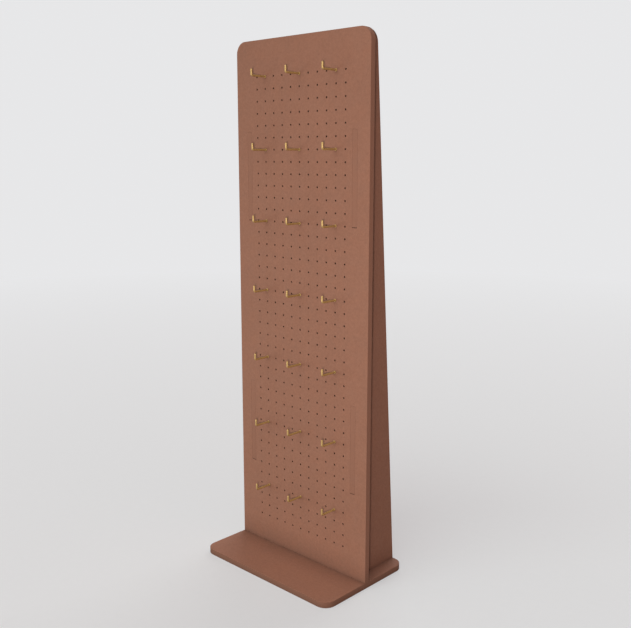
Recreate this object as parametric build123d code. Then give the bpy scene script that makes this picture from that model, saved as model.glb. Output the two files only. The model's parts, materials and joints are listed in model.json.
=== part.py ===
from build123d import *
import os
from math import cos, pi, radians, sin, sqrt, tan

# A tall pegboard display: a perforated front board on a base plate, with two side
# panels behind it and brass pegs in some of its holes.
# All sizes are in millimetres. X runs across the face, Y from the face to the back, Z up.
# The origin is the middle of the base plate's underside.

# Front board.
board_width = 381.0
board_height = 1130.3
board_thickness = 12.7
board_corner_radius = 25.4

# Grid of holes in the front board.
hole_pitch = 25.4
hole_diameter = 4.0
hole_side_margin = 63.5
hole_top_margin = 76.2
hole_bottom_margin = 63.5

# Base plate, as wide as the front board, which stands on its middle.
base_depth = 254.0
base_thickness = 12.7
base_corner_radius = 25.4

# Side panels, which taper from the base plate up.
panel_thickness = 12.7
panel_inset = 31.75
panel_top_depth = 44.45
panel_corner_radius = 25.4

# Tenons of the side panels, which pass through the front board.
face_tenon_length = 190.5
face_tenon_top = 190.5
face_tenon_bottom = 190.5

# Tenons of the upright boards, which pass through the base plate.
board_foot_tenon_length = 76.2
board_foot_tenon_inset = 50.8
panel_foot_tenon_length = 60.0

# Room left round the tenons in their mortises.
tenon_side_gap = 0.15
tenon_end_gap = 0.2
tenon_lower_gap = 0.8

# Pegs.
peg_diameter = 4.25
peg_reach = 41.0
peg_tip_height = 14.0
peg_bend_radius = 3.2
collar_diameter = 6.1
collar_thickness = 1.0
plug_gap = 0.05
plug_setback = 2.0

# Places of the pegs, counted in holes of the grid.
peg_columns_apart = 4
peg_rows_apart = 6

# Small round forms are prisms, which keeps a board of many holes light.
hole_sides = 5
peg_sides = 8
bend_corners = 2

os.makedirs("parts", exist_ok=True)


def prism_radius(diameter, sides):
    """Corner radius of the regular outline with the same area as a circle."""
    return diameter / 2 * sqrt(2 * pi / (sides * sin(2 * pi / sides)))


def flat_radius(diameter, sides):
    """Distance from the middle of that outline to the middle of a side."""
    return prism_radius(diameter, sides) * cos(pi / sides)


# Places and sizes that several pieces share.
face_y = -board_thickness / 2
back_y = board_thickness / 2
board_top = base_thickness + board_height
panel_foot_depth = base_depth / 2 - back_y
panel_middle = board_width / 2 - panel_inset - panel_thickness / 2
tenon_heights = (
    board_top - face_tenon_top - face_tenon_length / 2,
    base_thickness + face_tenon_bottom + face_tenon_length / 2,
)
board_foot_tenon_middle = board_width / 2 - board_foot_tenon_inset - board_foot_tenon_length / 2
panel_foot_tenon_middle = back_y + panel_foot_depth / 2


def count_that_fits(length):
    """Number of holes at the grid's pitch along a length, both ends included."""
    rounding = 0.001
    return int(length / hole_pitch + rounding) + 1


column_count = count_that_fits(board_width - 2 * hole_side_margin)
row_count = count_that_fits(board_height - hole_top_margin - hole_bottom_margin)
middle_column = column_count // 2
peg_rows = range(0, row_count, peg_rows_apart)
open_row = peg_rows[len(peg_rows) // 2] + peg_rows_apart // 2


def hole_place(column, row):
    """X and Z of one hole, with columns from the left and rows from the top."""
    x = (column - (column_count - 1) / 2) * hole_pitch
    z = board_top - hole_top_margin - row * hole_pitch
    return x, z


def fixing_holes():
    """The grid's corner holes and one open hole between two pegs, all truly round."""
    corners = [
        hole_place(column, row)
        for column in (0, column_count - 1)
        for row in (0, row_count - 1)
    ]
    return corners + [hole_place(middle_column, open_row)]


def plain_holes():
    """Every other hole of the grid."""
    grid = [hole_place(column, row) for column in range(column_count) for row in range(row_count)]
    round_holes = fixing_holes()
    return [place for place in grid if place not in round_holes]


def board_outline():
    """Edge of the front board, with round top corners and tenons at its foot."""
    board = Pos(0, base_thickness) * Rectangle(board_width, board_height, align=(Align.CENTER, Align.MIN))
    board = fillet(board.vertices().group_by(Axis.Y)[-1], board_corner_radius)
    tenon = Rectangle(board_foot_tenon_length, base_thickness, align=(Align.CENTER, Align.MIN))
    for side in (-1, 1):
        board += Pos(side * board_foot_tenon_middle, 0) * tenon
    return board.wire()


def board_mortises():
    """Edges of the long mortises that the side panels' tenons fill."""
    length = face_tenon_length + tenon_end_gap + tenon_lower_gap
    drop = (tenon_lower_gap - tenon_end_gap) / 2
    mortise = Rectangle(panel_thickness + 2 * tenon_side_gap, length)
    return [
        (Pos(side * panel_middle, height - drop) * mortise).wire()
        for side in (-1, 1)
        for height in tenon_heights
    ]


def thick_board(outline, plane, thickness):
    """Flat board from its outline, as thick as the plane's normal direction says."""
    return Solid.extrude(plane * outline, plane.z_dir * thickness)


def make_front_board():
    """Perforated board with mortises at its sides and tenons at its foot."""
    corner_up = 90
    radius = prism_radius(hole_diameter, hole_sides)
    plain_hole = RegularPolygon(radius, hole_sides, rotation=corner_up)
    fixing_hole = Circle(hole_diameter / 2)
    holes = [(Pos(*place) * plain_hole).wire() for place in plain_holes()]
    holes += [(Pos(*place) * fixing_hole).wire() for place in fixing_holes()]
    outline = Face(board_outline(), board_mortises() + holes)
    return thick_board(outline, Plane.XZ.offset(-back_y), board_thickness)


def make_base_plate():
    """Flat plate with rounded corners and mortises for the upright boards."""
    outline = RectangleRounded(board_width, base_depth, base_corner_radius)
    board_mortise = Rectangle(
        board_foot_tenon_length + 2 * tenon_end_gap,
        board_thickness + 2 * tenon_side_gap,
    )
    panel_mortise = Rectangle(
        panel_thickness + 2 * tenon_side_gap,
        panel_foot_tenon_length + 2 * tenon_end_gap,
    )
    for side in (-1, 1):
        outline -= Pos(side * board_foot_tenon_middle, 0) * board_mortise
        outline -= Pos(side * panel_middle, panel_foot_tenon_middle) * panel_mortise
    return thick_board(outline.face(), Plane.XY, base_thickness)


def make_side_panel(side):
    """Tapered board behind the front board, on the left (-1) or the right (1)."""
    edge = Polyline(
        (back_y, base_thickness),
        (back_y + panel_foot_depth, base_thickness),
        (back_y + panel_top_depth, board_top),
        (back_y, board_top),
        close=True,
    )
    outline = make_face(edge)
    top_corners = outline.vertices().group_by(Axis.Y)[-1]
    outline = fillet(top_corners.sort_by(Axis.X)[-1], panel_corner_radius)
    face_tenon = Rectangle(board_thickness, face_tenon_length, align=(Align.MAX, Align.CENTER))
    foot_tenon = Rectangle(panel_foot_tenon_length, base_thickness, align=(Align.CENTER, Align.MAX))
    for height in tenon_heights:
        outline += Pos(back_y, height) * face_tenon
    outline += Pos(panel_foot_tenon_middle, base_thickness) * foot_tenon
    inner_plane = Plane.YZ.offset(side * panel_middle - panel_thickness / 2)
    return thick_board(outline.face(), inner_plane, panel_thickness)


def bend_points(corner_y):
    """Corners of the peg's centreline where it turns from the arm to the tip."""
    middle_y = corner_y + peg_bend_radius
    corner_distance = peg_bend_radius / cos(radians(90 / bend_corners / 2))
    turns = [radians(90 * (corner + 0.5) / bend_corners) for corner in range(bend_corners)]
    return [
        (0, middle_y - corner_distance * sin(turn), peg_bend_radius - corner_distance * cos(turn))
        for turn in turns
    ]


def peg_outline(radius):
    """Outline across the peg, flat side down, on the plane of the board's face."""
    flat_down = 180 / peg_sides
    return Plane.XZ.offset(-face_y) * RegularPolygon(radius, peg_sides, rotation=flat_down)


def make_peg():
    """Peg with its plug, collar, arm and upturned tip, centred on its hole."""
    tip_y = face_y - peg_reach + peg_diameter / 2
    centreline = Polyline((0, face_y, 0), *bend_points(tip_y), (0, tip_y, peg_tip_height))
    section = peg_outline(prism_radius(peg_diameter, peg_sides))
    rod = sweep(section, path=centreline, transition=Transition.RIGHT)
    tip_chamfer = flat_radius(peg_diameter, peg_sides) * (1 - tan(radians(45 / 2)))
    rod = chamfer(rod.faces().sort_by(Axis.Z)[-1].edges(), tip_chamfer)
    collar = extrude(peg_outline(prism_radius(collar_diameter, peg_sides)), collar_thickness)
    plug_radius = flat_radius(hole_diameter, hole_sides) - plug_gap
    plug = extrude(peg_outline(plug_radius), plug_setback - board_thickness)
    return rod + collar + plug


def export_pegs():
    """One peg for each place: three across the board and every few rows down."""
    peg = make_peg()
    sides = {
        "left": middle_column - peg_columns_apart,
        "middle": middle_column,
        "right": middle_column + peg_columns_apart,
    }
    for number, row in enumerate(peg_rows, start=1):
        for name, column in sides.items():
            x, z = hole_place(column, row)
            export_step(Pos(x, 0, z) * peg, f"parts/peg_row{number}_{name}.step")


export_step(make_front_board(), "parts/front_board.step")
export_step(make_base_plate(), "parts/base_plate.step")
export_step(make_side_panel(-1), "parts/side_panel_left.step")
export_step(make_side_panel(1), "parts/side_panel_right.step")
export_pegs()
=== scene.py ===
import json
from math import cos, pi, radians, sin, tan

import bmesh
import bpy
from mathutils import Matrix, Vector
from mathutils.geometry import delaunay_2d_cdt


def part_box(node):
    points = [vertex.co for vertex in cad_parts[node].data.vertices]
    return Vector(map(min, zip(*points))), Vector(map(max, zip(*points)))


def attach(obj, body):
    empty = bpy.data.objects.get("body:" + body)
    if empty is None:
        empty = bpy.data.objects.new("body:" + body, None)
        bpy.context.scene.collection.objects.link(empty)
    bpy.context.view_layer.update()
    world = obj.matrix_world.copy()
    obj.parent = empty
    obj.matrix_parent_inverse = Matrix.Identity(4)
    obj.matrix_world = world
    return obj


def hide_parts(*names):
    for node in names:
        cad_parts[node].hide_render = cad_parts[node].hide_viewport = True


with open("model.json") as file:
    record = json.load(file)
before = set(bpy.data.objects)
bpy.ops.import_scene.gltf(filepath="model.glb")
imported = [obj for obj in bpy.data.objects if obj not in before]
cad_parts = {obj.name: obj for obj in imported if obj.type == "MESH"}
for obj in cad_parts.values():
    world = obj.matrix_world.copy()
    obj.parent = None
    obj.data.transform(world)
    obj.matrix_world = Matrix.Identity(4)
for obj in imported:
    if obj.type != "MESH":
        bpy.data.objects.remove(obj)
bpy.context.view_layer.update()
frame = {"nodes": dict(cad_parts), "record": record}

# A tall pegboard display: a perforated board on a base plate, two side panels and
# brass pegs. Everything is in metres: X across the face, Y from the face to the back.

MM = 0.001

# Places read from the solids.
board_low, board_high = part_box("front_board")
base_low, base_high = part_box("base_plate")
face_y, back_y = board_low.y, board_high.y
board_top = board_high.z
base_top = base_high.z
mounts = {mount["name"]: mount for mount in frame["record"]["mounts"]}
hole_radius = mounts["peg_hole"]["dims"]["r_mm"] * MM
grid_width = mounts["fixing_holes"]["dims"]["spacing_x_mm"] * MM
grid_height = mounts["fixing_holes"]["dims"]["spacing_y_mm"] * MM
grid_middle_z = mounts["fixing_holes"]["pos_m"][2]

# Boards, as the solids are made.
HOLE_PITCH = 25.4 * MM
CORNER_RADIUS = 25.4 * MM
PANEL_TOP_DEPTH = 44.45 * MM
FACE_TENON_LENGTH = 190.5 * MM
FACE_TENON_TOP = 190.5 * MM
FACE_TENON_BOTTOM = 190.5 * MM
BOARD_FOOT_TENON_LENGTH = 76.2 * MM
BOARD_FOOT_TENON_INSET = 50.8 * MM
PANEL_FOOT_TENON_LENGTH = 60.0 * MM
TENON_SIDE_GAP = 0.15 * MM
TENON_END_GAP = 0.2 * MM

# The gap under each tenon on the face, wider than in the solids so that it shows.
TENON_LOWER_GAP = 1.2 * MM

# Pegs, as the solids are made but round.
PEG_RADIUS = 4.25 / 2 * MM
PEG_REACH = 41.0 * MM
PEG_TIP_HEIGHT = 14.0 * MM
PEG_BEND_RADIUS = 3.2 * MM
COLLAR_RADIUS = 6.1 / 2 * MM
COLLAR_THICKNESS = 1.0 * MM
PLUG_RADIUS = 1.85 * MM
PLUG_SETBACK = 2.0 * MM
peg_tip_y = face_y - PEG_REACH + PEG_RADIUS

# Finished edges, and how finely round forms are made.
BOARD_EASE = 0.25 * MM
HOLE_EASE = 0.2 * MM
MORTISE_EASE = 0.12 * MM
COLLAR_EASE = 0.35 * MM
PLUG_EASE = 0.4 * MM
ARC_STEPS = 16
HOLE_POINTS = 24
ROD_POINTS = 24
BEND_STEPS = 10
DOME_STEPS = 7
BEAD_STEPS = 4
SHARP_ANGLE = radians(60)

# A noise is its cells to the metre, detail and roughness, and a pattern is a noise, the
# levels that it is spread to, and its own reach where that isn't the usual one.
NOISE_REACH = (0.3, 0.7)

# Boards: the patterns in their colour, their two tones, and the layers that show on
# their cut edges.
CLOUDS = ((9, 3, 0.55), (0.975, 1.025))
MOTTLE = ((210, 4, 0.55), (0.93, 1.07))
FIBRES = ((1300, 4, 0.7), (0.86, 1.14))
SPECKS = ((520, 5, 0.75), (1.0, 0.80), (0.64, 0.74))
BOARD_TINT = ((40, 3, 0.55), (0.0, 1.0))
BOARD_TONES = ((0.300, 0.139, 0.089), (0.308, 0.138, 0.086))
LAYERS_TO_THE_METRE = 2600
LAYER_NOISE = (1, 3, 0.6)
LAYER_LEVELS = (0.86, 1.06)
LAYER_WAVES = (26, 3, 0.55)
LAYER_CHANGES = (15, 3, 0.55)

# Painted shade, darkening the boards' colour in corners, at joints and round the pegs: how far it
# reaches, and how much it takes away.
PAINTED_CORNER_SHADE = ((60 * MM, 0.60), (10 * MM, 0.35))
PAINTED_SHADE_SAMPLES = 6

# Finish of the boards, with the strength and the height of their relief.
BOARD_ROUGHNESS = ((700, 3, 0.55), (0.70, 0.86))
BOARD_SPECULAR = 0.22
BOARD_GRAIN = (1500, 4, 0.7)
BOARD_RELIEF = (0.22, 0.12 * MM)

# Brass: fresh and dull, how dull it is in places, how much and how far a painted reflection
# of the board dulls it at the board, and the fine lines along it that drawing left.
BRASS_TONES = ((0.52, 0.335, 0.120), (0.41, 0.270, 0.095))
TARNISH = ((260, 4, 0.55), (0.0, 0.35))
PAINTED_REFLECTION_AT_BOARD = 0.5
PAINTED_REFLECTION_REACH = 12.0 * MM
DRAWN_STRETCH = (1.0, 0.06, 1.0)
DRAWN_LINES = (4200, 3, 0.55)
DRAWN_LEVELS = (0.93, 1.07)
BRASS_METALLIC = 0.50
BRASS_ROUGHNESS = ((900, 3, 0.55), (0.42, 0.52))
BRASS_RELIEF = (0.12, 0.05 * MM)

# The floor: its size, its tone as it is seen and for the light that it throws back, its
# finish, and its share of haze, which grows with the distance from the object.
FLOOR_RADIUS = 9.0
FLOOR_POINTS = 96
FLOOR_DROP = 0.05 * MM
FLOOR_TONE = (0.94, 0.935, 0.93)
FLOOR_BOUNCE = (0.20, 0.19, 0.18)
FLOOR_CLOUDS = ((60, 3, 0.55), (0.985, 1.0))
FLOOR_ROUGHNESS = 0.95
FLOOR_SPECULAR = 0.1
FLOOR_GRAIN = (300, 3, 0.55)
FLOOR_RELIEF = (0.05, 0.3 * MM)
HAZE_SHARES = (0.45, 1.0)
HAZE_REACH = (0.6, 5.0)

# What is seen beyond the floor, and the even light from all round.
BACKDROP_TONE = (0.80, 0.80, 0.81)
AMBIENT_TONE = (0.10, 0.066, 0.064)

# Round softboxes near the object: place, size, level and tint.
SOFTBOXES = {
    "key_lamp": ((1.36, -1.52, 0.79), 0.16, 0.57, (1.0, 0.92, 0.91)),
    "fill_lamp": ((-1.25, -1.35, 0.35), 0.9, 0.24, (0.90, 1.05, 1.07)),
}

# Broad distant lamps: azimuth from the front and elevation in degrees, level and tint.
DISTANT_LAMPS = {
    "front_lamp": (0, 35, 0.32, (0.93, 1.04, 1.02)),
    "rear_lamp": (-160, 15, 0.58, (1.0, 1.0, 1.0)),
    "top_lamp": (0, 80, 0.22, (1.0, 1.0, 1.0)),
}
LAMP_SOFTNESS = radians(60)

# The photograph's camera, worked out from the places of the holes. Its sensor and lens
# are in millimetres, as Blender takes them.
CAMERA_PLACE = (1.2475, -1.2685, 0.8986)
CAMERA_TILT = radians(79.446)
CAMERA_TURN = radians(43.590)
CAMERA_SENSOR = 36.0
CAMERA_LENS = 47.975
CAMERA_FAR_LIMIT = 60.0


def rounded_outline(corners):
    """Points of an anticlockwise outline from its corners (u, v, radius)."""
    points = []
    for index, (u, v, radius) in enumerate(corners):
        corner = Vector((u, v))
        if not radius:
            points.append(corner)
            continue
        before = (Vector(corners[index - 1][:2]) - corner).normalized()
        after = (Vector(corners[(index + 1) % len(corners)][:2]) - corner).normalized()
        half = before.angle(after) / 2
        middle = corner + (before + after).normalized() * radius / sin(half)
        spoke = corner + before * radius / tan(half) - middle
        for step in range(ARC_STEPS + 1):
            turn = Matrix.Rotation((pi - 2 * half) * step / ARC_STEPS, 2)
            points.append(middle + turn @ spoke)
    return points


def rectangle(u, v, width, height):
    """Clockwise corners of an opening with its middle at (u, v)."""
    half_width, half_height = width / 2, height / 2
    signs = ((-1, -1), (-1, 1), (1, 1), (1, -1))
    return [Vector((u + half_width * a, v + half_height * b)) for a, b in signs]


def circle(u, v, radius):
    """Clockwise points of a round opening."""
    turns = [-2 * pi * index / HOLE_POINTS for index in range(HOLE_POINTS)]
    return [Vector((u + radius * cos(turn), v + radius * sin(turn))) for turn in turns]


def set_in(points, distance):
    """The outline moved to its left, into the board, with mitred corners."""
    moved = []
    for index, point in enumerate(points):
        before = (point - points[index - 1]).normalized()
        after = (points[(index + 1) % len(points)] - point).normalized()
        left_before = Vector((-before.y, before.x))
        left_after = Vector((-after.y, after.x))
        mitre = (left_before + left_after) / (1 + left_before.dot(left_after))
        moved.append(point + mitre * distance)
    return moved


def fill_between(outlines):
    """Triangles between the outlines, as numbers of their points in one list."""
    points = [point for outline in outlines for point in outline]
    shapes = []
    first = 0
    for outline in outlines:
        shapes.append(tuple(range(first, first + len(outline))))
        first += len(outline)
    inside_without_holes = 2
    smallest = 0.0001 * MM
    filled = delaunay_2d_cdt(points, [], shapes, inside_without_holes, smallest)
    faces, source = filled[2], filled[3]
    return [[source[corner][0] for corner in face] for face in faces]


def finish_mesh(name, form, material):
    """Turns a bmesh into a piece that rides with the part."""
    bmesh.ops.recalc_face_normals(form, faces=form.faces)
    for face in form.faces:
        face.smooth = True
    for edge in form.edges:
        edge.smooth = edge.calc_face_angle(0) < SHARP_ANGLE
    mesh = bpy.data.meshes.new(name)
    form.to_mesh(mesh)
    form.free()
    mesh.materials.append(material)
    piece = bpy.data.objects.new(name, mesh)
    bpy.context.scene.collection.objects.link(piece)
    weighting = piece.modifiers.new("face_weights", "WEIGHTED_NORMAL")
    weighting.keep_sharp = True
    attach(piece, "root")
    return piece


def make_board(name, outlines, eases, thickness, place, material):
    """Flat board with openings and eased edges, its cut edges marked for the material."""
    form = bmesh.new()
    cut_edge = form.faces.layers.float.new("cut_edge")
    depth_layer = form.verts.layers.float.new("depth")
    rings = []
    for outline, ease in zip(outlines, eases):
        profile = ((ease, 0), (0, ease), (0, thickness - ease), (ease, thickness))
        for inset, depth in profile:
            ring = [form.verts.new(place(u, v, depth)) for u, v in set_in(outline, inset)]
            for corner in ring:
                corner[depth_layer] = depth
            rings.append(ring)
    rings_each = len(rings) // len(outlines)
    for start in range(0, len(rings), rings_each):
        for level in range(rings_each - 1):
            upper, lower = rings[start + level], rings[start + level + 1]
            for index in range(len(upper)):
                after = (index + 1) % len(upper)
                wall = form.faces.new((upper[index], upper[after], lower[after], lower[index]))
                wall[cut_edge] = 1.0
    faces = fill_between([set_in(outline, ease) for outline, ease in zip(outlines, eases)])
    for level in (0, rings_each - 1):
        corners = [corner for ring in rings[level::rings_each] for corner in ring]
        for face in faces:
            form.faces.new([corners[number] for number in face])
    piece = finish_mesh(name, form, material)
    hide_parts(name.removesuffix("_finished"))


def tenon_heights():
    """Heights of the middles of the tenons that show on the face."""
    upper = board_top - FACE_TENON_TOP - FACE_TENON_LENGTH / 2
    lower = base_top + FACE_TENON_BOTTOM + FACE_TENON_LENGTH / 2
    return upper, lower


def panel_middles():
    """X of the middle of each side panel."""
    boxes = [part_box(name) for name in ("side_panel_left", "side_panel_right")]
    return [(low.x + high.x) / 2 for low, high in boxes]


def panel_thickness():
    """Thickness of a side panel."""
    low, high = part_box("side_panel_right")
    return high.x - low.x


def foot_tenon_middles():
    """X of the middles of the front board's foot tenons."""
    reach = board_high.x - BOARD_FOOT_TENON_INSET - BOARD_FOOT_TENON_LENGTH / 2
    return -reach, reach


def panel_foot_tenon_middle():
    """Y of the middle of a side panel's foot tenon."""
    return (back_y + base_high.y) / 2


def hole_places():
    """X and Z of every hole of the grid."""
    columns = round(grid_width / HOLE_PITCH)
    rows = round(grid_height / HOLE_PITCH)
    left = -grid_width / 2
    top = grid_middle_z + grid_height / 2
    return [
        (left + column * HOLE_PITCH, top - row * HOLE_PITCH)
        for column in range(columns + 1)
        for row in range(rows + 1)
    ]


def make_front_board(material):
    """Perforated front board, with mortises at its sides and tenons at its foot."""
    corners = [(board_low.x, base_top, 0)]
    for middle in foot_tenon_middles():
        near = middle - BOARD_FOOT_TENON_LENGTH / 2
        far = middle + BOARD_FOOT_TENON_LENGTH / 2
        corners += [(near, base_top, 0), (near, 0, 0), (far, 0, 0), (far, base_top, 0)]
    corners += [
        (board_high.x, base_top, 0),
        (board_high.x, board_top, CORNER_RADIUS),
        (board_low.x, board_top, CORNER_RADIUS),
    ]
    mortise_width = panel_thickness() + 2 * TENON_SIDE_GAP
    mortise_length = FACE_TENON_LENGTH + TENON_END_GAP + TENON_LOWER_GAP
    drop = (TENON_LOWER_GAP - TENON_END_GAP) / 2
    mortises = [
        rectangle(middle, height - drop, mortise_width, mortise_length)
        for middle in panel_middles()
        for height in tenon_heights()
    ]
    holes = [circle(x, z, hole_radius) for x, z in hole_places()]
    outlines = [rounded_outline(corners)] + mortises + holes
    eases = [BOARD_EASE] + [MORTISE_EASE] * len(mortises) + [HOLE_EASE] * len(holes)

    def place(u, v, depth):
        return u, face_y + depth, v

    make_board("front_board_finished", outlines, eases, back_y - face_y, place, material)


def make_base_plate(material):
    """Base plate with rounded corners, pierced for the tenons of the upright boards."""
    outline = rounded_outline([
        (base_low.x, base_low.y, CORNER_RADIUS),
        (base_high.x, base_low.y, CORNER_RADIUS),
        (base_high.x, base_high.y, CORNER_RADIUS),
        (base_low.x, base_high.y, CORNER_RADIUS),
    ])
    board_length = BOARD_FOOT_TENON_LENGTH + 2 * TENON_END_GAP
    board_width = back_y - face_y + 2 * TENON_SIDE_GAP
    panel_length = PANEL_FOOT_TENON_LENGTH + 2 * TENON_END_GAP
    panel_width = panel_thickness() + 2 * TENON_SIDE_GAP
    mortises = [rectangle(x, 0, board_length, board_width) for x in foot_tenon_middles()]
    panel_y = panel_foot_tenon_middle()
    mortises += [rectangle(x, panel_y, panel_width, panel_length) for x in panel_middles()]
    eases = [BOARD_EASE] + [MORTISE_EASE] * len(mortises)

    def place(u, v, depth):
        return u, v, base_top - depth

    make_board("base_plate_finished", [outline] + mortises, eases, base_top, place, material)


def make_side_panel(side, middle, material):
    """Tapered side panel with tenons into the front board and the base plate."""
    foot_middle = panel_foot_tenon_middle()
    near = foot_middle - PANEL_FOOT_TENON_LENGTH / 2
    far = foot_middle + PANEL_FOOT_TENON_LENGTH / 2
    corners = [
        (back_y, base_top, 0),
        (near, base_top, 0),
        (near, 0, 0),
        (far, 0, 0),
        (far, base_top, 0),
        (base_high.y, base_top, 0),
        (back_y + PANEL_TOP_DEPTH, board_top, CORNER_RADIUS),
        (back_y, board_top, 0),
    ]
    for height in tenon_heights():
        upper = height + FACE_TENON_LENGTH / 2
        lower = height - FACE_TENON_LENGTH / 2
        corners += [(back_y, upper, 0), (face_y, upper, 0), (face_y, lower, 0), (back_y, lower, 0)]
    thickness = panel_thickness()
    outer_x = middle + thickness / 2

    def place(u, v, depth):
        return outer_x - depth, u, v

    outline = rounded_outline(corners)
    name = f"side_panel_{side}_finished"
    make_board(name, [outline], [MORTISE_EASE], thickness, place, material)


def bead(y, radius, ease, opening):
    """Stations of a rounded edge, where the rod opens to its radius or closes from it."""
    stations = []
    for step in range(BEAD_STEPS + 1):
        angle = pi / 2 * step / BEAD_STEPS
        if opening:
            along, inset = 1 - cos(angle), 1 - sin(angle)
        else:
            along, inset = sin(angle) - 1, 1 - cos(angle)
        stations.append((y - ease * along, 0, 0, radius - ease * inset))
    return stations


def peg_stations():
    """Rings along the peg as (y, z, turn of its direction, radius), from plug to tip."""
    collar_y = face_y - COLLAR_THICKNESS
    stations = bead(back_y - PLUG_SETBACK, PLUG_RADIUS, PLUG_EASE, opening=True)
    stations.append((face_y, 0, 0, PLUG_RADIUS))
    stations += bead(face_y, COLLAR_RADIUS, COLLAR_EASE, opening=True)
    stations += bead(collar_y, COLLAR_RADIUS, COLLAR_EASE, opening=False)
    stations.append((collar_y, 0, 0, PEG_RADIUS))
    for step in range(BEND_STEPS + 1):
        turn = pi / 2 * step / BEND_STEPS
        y = peg_tip_y + PEG_BEND_RADIUS * (1 - sin(turn))
        z = PEG_BEND_RADIUS * (1 - cos(turn))
        stations.append((y, z, turn, PEG_RADIUS))
    dome_z = PEG_TIP_HEIGHT - PEG_RADIUS
    for step in range(DOME_STEPS):
        rise = pi / 2 * step / DOME_STEPS
        z = dome_z + PEG_RADIUS * sin(rise)
        stations.append((peg_tip_y, z, pi / 2, PEG_RADIUS * cos(rise)))
    return stations


def make_peg(node, material):
    """Round peg with its plug, collar, arm, bend and domed tip, in the hole of its solid."""
    low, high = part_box(node)
    hole_x = (low.x + high.x) / 2
    hole_z = high.z - PEG_TIP_HEIGHT
    form = bmesh.new()
    rings = []
    for y, z, turn, radius in peg_stations():
        ring = []
        for index in range(ROD_POINTS):
            angle = 2 * pi * index / ROD_POINTS
            across = radius * cos(angle)
            up = radius * sin(angle)
            place = (hole_x + across, y + up * sin(turn), hole_z + z + up * cos(turn))
            ring.append(form.verts.new(place))
        rings.append(ring)
    for lower, upper in zip(rings, rings[1:]):
        for index in range(ROD_POINTS):
            after = (index + 1) % ROD_POINTS
            form.faces.new((lower[index], lower[after], upper[after], upper[index]))
    form.faces.new(rings[0])
    apex = form.verts.new((hole_x, peg_tip_y, hole_z + PEG_TIP_HEIGHT))
    for index in range(ROD_POINTS):
        form.faces.new((rings[-1][index], rings[-1][(index + 1) % ROD_POINTS], apex))
    piece = finish_mesh(f"{node}_finished", form, material)
    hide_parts(node)


class Shader:
    """A procedural material and short ways to add its nodes."""

    def __init__(self, name):
        self.material = bpy.data.materials.new(name)
        self.material.use_nodes = True
        self.tree = self.material.node_tree
        self.surface = self.tree.nodes["Principled BSDF"]

    def add(self, kind, **inputs):
        """A node of that kind, with sockets named by their labels set or linked."""
        node = self.tree.nodes.new(kind)
        for label, value in inputs.items():
            self.feed(node.inputs[label.replace("_", " ")], value)
        return node

    def feed(self, socket, value):
        """Links a socket to another, or sets its value."""
        if isinstance(value, bpy.types.NodeSocket):
            self.tree.links.new(value, socket)
        else:
            socket.default_value = value

    def set_surface(self, **inputs):
        """Sets or links sockets of the surface's shader, named by their labels."""
        for label, value in inputs.items():
            self.feed(self.surface.inputs[label.replace("_", " ")], value)

    def place(self, stretch=(1, 1, 1)):
        """The point on the piece in metres, stretched along each axis."""
        point = self.add("ShaderNodeTexCoord").outputs["Object"]
        return self.add("ShaderNodeMapping", Vector=point, Scale=stretch).outputs["Vector"]

    def noise(self, point, cells, detail, roughness):
        """Cloudy values about 0.5, with that many cells to the metre."""
        node = self.add(
            "ShaderNodeTexNoise",
            Vector=point,
            Scale=cells,
            Detail=detail,
            Roughness=roughness,
        )
        return node.outputs["Fac"]

    def spread(self, value, levels, reach=NOISE_REACH):
        """The value spread over the levels, as it goes through its reach."""
        node = self.add("ShaderNodeMapRange", Value=value)
        labels = ("From Min", "From Max", "To Min", "To Max")
        for label, number in zip(labels, (*reach, *levels)):
            node.inputs[label].default_value = number
        return node.outputs["Result"]

    def pattern(self, point, noise, levels, reach=NOISE_REACH):
        """A noise spread over the levels."""
        return self.spread(self.noise(point, *noise), levels, reach)

    def maths(self, operation, first, second):
        """A sum, product or like of two values."""
        node = self.tree.nodes.new("ShaderNodeMath")
        node.operation = operation
        self.feed(node.inputs[0], first)
        self.feed(node.inputs[1], second)
        return node.outputs["Value"]

    def blend(self, share, first, second):
        """From the first colour to the second as share goes from 0 to 1."""
        node = self.tree.nodes.new("ShaderNodeMix")
        node.data_type = "RGBA"
        colours = [socket for socket in node.inputs if socket.type == "RGBA"]
        self.feed(node.inputs["Factor"], share)
        for socket, colour in zip(colours, (first, second)):
            self.feed(socket, (*colour, 1) if isinstance(colour, tuple) else colour)
        return next(socket for socket in node.outputs if socket.type == "RGBA")

    def lit(self, colour, level):
        """The colour made lighter or darker by a level about 1."""
        node = self.tree.nodes.new("ShaderNodeVectorMath")
        node.operation = "SCALE"
        self.feed(node.inputs["Vector"], colour)
        self.feed(node.inputs["Scale"], level)
        return node.outputs["Vector"]

    def attribute(self, name):
        """A value that the mesh holds."""
        node = self.tree.nodes.new("ShaderNodeAttribute")
        node.attribute_name = name
        return node.outputs["Fac"]

    def painted_corner_shade(self, reach, depth):
        """Painted shade: 1 in the open, and down to 1 - depth where all within reach is filled."""
        node = self.add("ShaderNodeAmbientOcclusion", Distance=reach)
        node.samples = PAINTED_SHADE_SAMPLES
        return self.spread(node.outputs["AO"], (1 - depth, 1.0), (0.0, 1.0))

    def relief(self, height, strength, distance):
        """Fine relief of the surface, up to that distance high."""
        node = self.add("ShaderNodeBump", Height=height, Strength=strength, Distance=distance)
        self.set_surface(Normal=node.outputs["Normal"])


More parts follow.
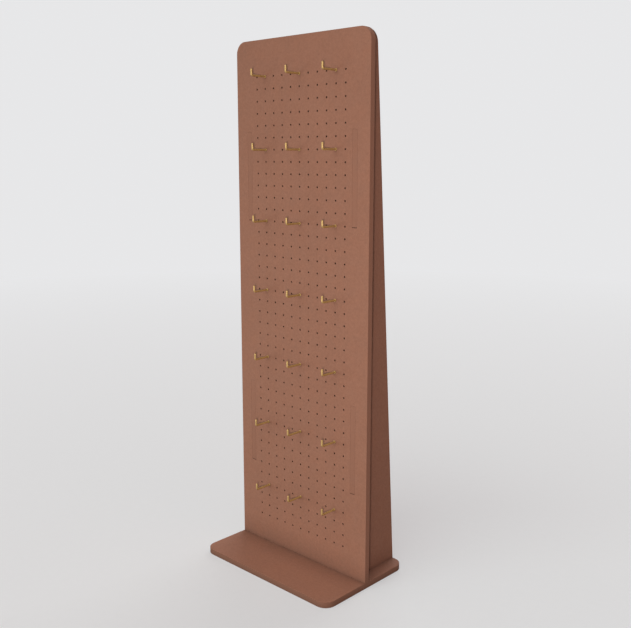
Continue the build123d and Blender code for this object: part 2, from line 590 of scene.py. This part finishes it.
def board_material():
    """Matt reddish-brown fibreboard: a faint mottle, fine fibres, layers on cut edges, and painted
    shade in corners and round the pegs.
    """
    shader = Shader("board_brown")
    point = shader.place()
    fibres = shader.pattern(point, *FIBRES)
    face_level = shader.pattern(point, *CLOUDS)
    for factor in (shader.pattern(point, *MOTTLE), fibres, shader.pattern(point, *SPECKS)):
        face_level = shader.maths("MULTIPLY", face_level, factor)

    layer_point = shader.add(
        "ShaderNodeCombineXYZ",
        X=shader.maths("MULTIPLY", shader.attribute("depth"), LAYERS_TO_THE_METRE),
        Y=shader.noise(point, *LAYER_WAVES),
        Z=shader.noise(point, *LAYER_CHANGES),
    )
    layers = shader.noise(layer_point.outputs["Vector"], *LAYER_NOISE)
    edge_level = shader.maths("MULTIPLY", shader.spread(layers, LAYER_LEVELS), fibres)

    on_edge = shader.attribute("cut_edge")
    on_face = shader.maths("SUBTRACT", 1.0, on_edge)
    face_level = shader.maths("MULTIPLY", face_level, on_face)
    edge_level = shader.maths("MULTIPLY", edge_level, on_edge)
    level = shader.maths("ADD", face_level, edge_level)
    # Painted shade: the colour is darkened where other surfaces are near, in corners, at joints
    # and round the pegs.
    for reach, depth in PAINTED_CORNER_SHADE:
        level = shader.maths("MULTIPLY", level, shader.painted_corner_shade(reach, depth))

    tone = shader.blend(shader.pattern(point, *BOARD_TINT), *BOARD_TONES)
    shader.set_surface(
        Base_Color=shader.lit(tone, level),
        Roughness=shader.pattern(point, *BOARD_ROUGHNESS),
        Specular_IOR_Level=BOARD_SPECULAR,
    )
    edge_grain = shader.maths("MULTIPLY", layers, on_edge)
    grain = shader.maths("ADD", shader.noise(point, *BOARD_GRAIN), edge_grain)
    shader.relief(grain, *BOARD_RELIEF)
    return shader.material


def brass_material():
    """Drawn brass rod with a satin shine, duller in places, and dulled towards the board by a
    painted reflection of the board.
    """
    shader = Shader("peg_brass")
    point = shader.place()
    point_y = shader.add("ShaderNodeSeparateXYZ", Vector=point).outputs["Y"]
    # Painted reflection of the board: the brass is made duller over the last stretch before the
    # board, on top of its random tarnish.
    painted_reflection_reach = (face_y - PAINTED_REFLECTION_REACH, face_y - COLLAR_THICKNESS)
    painted_board_reflection = shader.spread(point_y, (0.0, PAINTED_REFLECTION_AT_BOARD), painted_reflection_reach)
    tarnish_and_painted_reflection = shader.maths("ADD", shader.pattern(point, *TARNISH), painted_board_reflection)
    tone = shader.blend(tarnish_and_painted_reflection, *BRASS_TONES)
    drawn = shader.noise(shader.place(DRAWN_STRETCH), *DRAWN_LINES)
    shader.set_surface(
        Base_Color=shader.lit(tone, shader.spread(drawn, DRAWN_LEVELS)),
        Roughness=shader.pattern(point, *BRASS_ROUGHNESS),
        Metallic=BRASS_METALLIC,
    )
    shader.relief(drawn, *BRASS_RELIEF)
    return shader.material


def seen_directly(tree):
    """1 for what the camera, gloss or glass sees, and 0 for light that scatters."""
    path = tree.nodes.new("ShaderNodeLightPath")
    seen = path.outputs["Is Camera Ray"]
    for label in ("Is Glossy Ray", "Is Transmission Ray"):
        either = tree.nodes.new("ShaderNodeMath")
        either.operation = "MAXIMUM"
        tree.links.new(seen, either.inputs[0])
        tree.links.new(path.outputs[label], either.inputs[1])
        seen = either.outputs["Value"]
    return seen


def floor_material():
    """Pale where it is seen, dull where it throws light back, and hazy far away."""
    shader = Shader("pale_floor")
    point = shader.place()
    seen = seen_directly(shader.tree)
    pale = shader.lit(FLOOR_TONE, shader.pattern(point, *FLOOR_CLOUDS))
    shader.set_surface(
        Base_Color=shader.blend(seen, FLOOR_BOUNCE, pale),
        Roughness=FLOOR_ROUGHNESS,
        Specular_IOR_Level=FLOOR_SPECULAR,
    )
    shader.relief(shader.noise(point, *FLOOR_GRAIN), *FLOOR_RELIEF)
    distance = shader.add("ShaderNodeVectorMath")
    distance.operation = "LENGTH"
    shader.feed(distance.inputs[0], point)
    fade = shader.spread(distance.outputs["Value"], HAZE_SHARES, HAZE_REACH)
    haze = shader.add("ShaderNodeEmission", Color=(*BACKDROP_TONE, 1), Strength=1.0)
    mix = shader.add("ShaderNodeMixShader", Fac=shader.maths("MULTIPLY", fade, seen))
    shader.feed(mix.inputs[1], shader.surface.outputs["BSDF"])
    shader.feed(mix.inputs[2], haze.outputs["Emission"])
    output = shader.tree.nodes["Material Output"]
    shader.feed(output.inputs["Surface"], mix.outputs["Shader"])
    return shader.material


def make_floor():
    """Round floor, a hair below the base plate's underside."""
    form = bmesh.new()
    bmesh.ops.create_circle(form, cap_ends=True, segments=FLOOR_POINTS, radius=FLOOR_RADIUS)
    mesh = bpy.data.meshes.new("floor")
    form.to_mesh(mesh)
    form.free()
    mesh.materials.append(floor_material())
    floor = bpy.data.objects.new("floor", mesh)
    floor.location.z = -FLOOR_DROP
    bpy.context.scene.collection.objects.link(floor)
    return floor


def make_world():
    """Even light from all round, with a pale background for what is seen directly."""
    world = bpy.data.worlds.new("studio")
    world.use_nodes = True
    tree = world.node_tree
    ambient = tree.nodes["Background"]
    ambient.inputs["Color"].default_value = (*AMBIENT_TONE, 1)
    backdrop = tree.nodes.new("ShaderNodeBackground")
    backdrop.inputs["Color"].default_value = (*BACKDROP_TONE, 1)
    mix = tree.nodes.new("ShaderNodeMixShader")
    tree.links.new(seen_directly(tree), mix.inputs["Fac"])
    tree.links.new(ambient.outputs["Background"], mix.inputs[1])
    tree.links.new(backdrop.outputs["Background"], mix.inputs[2])
    tree.links.new(mix.outputs["Shader"], tree.nodes["World Output"].inputs["Surface"])
    bpy.context.scene.world = world


def direction(azimuth, elevation):
    """Unit vector towards a place seen from the object, with azimuth from its front."""
    turn, rise = radians(azimuth), radians(elevation)
    return Vector((sin(turn) * cos(rise), -cos(turn) * cos(rise), sin(rise)))


def all_but(piece):
    """A collection that keeps a lamp's light off that piece."""
    unlit = bpy.data.collections.new(f"not_{piece.name}")
    unlit.objects.link(piece)
    unlit.collection_objects[0].light_linking.link_state = "EXCLUDE"
    return unlit


def add_softbox(name, receivers, place, size, level, tint):
    """Round lamp aimed at the object, which it lights to a level, where 1 is its own colour."""
    place = Vector(place)
    aim = Vector((0, face_y, board_top / 2))
    distance = (place - aim).length
    data = bpy.data.lights.new(name, "AREA")
    data.shape = "DISK"
    data.size = size
    data.energy = level * pi ** 2 * distance ** 2
    data.color = tint
    lamp = bpy.data.objects.new(name, data)
    lamp.location = place
    lamp.rotation_euler = (place - aim).to_track_quat("Z", "Y").to_euler()
    lamp.visible_camera = False
    lamp.light_linking.receiver_collection = receivers
    bpy.context.scene.collection.objects.link(lamp)


def add_distant_lamp(name, azimuth, elevation, level, tint):
    """Broad lamp that lights a surface facing it to a level, where 1 is its own colour."""
    data = bpy.data.lights.new(name, "SUN")
    data.energy = level * pi
    data.angle = LAMP_SOFTNESS
    data.color = tint
    lamp = bpy.data.objects.new(name, data)
    lamp.rotation_euler = direction(azimuth, elevation).to_track_quat("Z", "Y").to_euler()
    bpy.context.scene.collection.objects.link(lamp)


def add_camera():
    """The photograph's camera."""
    data = bpy.data.cameras.new("camera")
    data.sensor_width = CAMERA_SENSOR
    data.lens = CAMERA_LENS
    data.clip_end = CAMERA_FAR_LIMIT
    camera = bpy.data.objects.new("camera", data)
    camera.location = CAMERA_PLACE
    camera.rotation_euler = (CAMERA_TILT, 0, CAMERA_TURN)
    bpy.context.scene.collection.objects.link(camera)
    bpy.context.scene.camera = camera


board = board_material()
brass = brass_material()
make_front_board(board)
make_base_plate(board)
for side, middle in zip(("left", "right"), panel_middles()):
    make_side_panel(side, middle, board)
for node in sorted(frame["nodes"]):
    if node.startswith("peg_"):
        make_peg(node, brass)

floor = make_floor()
make_world()
object_alone = all_but(floor)
for name, settings in SOFTBOXES.items():
    add_softbox(name, object_alone, *settings)
for name, settings in DISTANT_LAMPS.items():
    add_distant_lamp(name, *settings)
add_camera()
bpy.context.scene.view_settings.view_transform = "Standard"
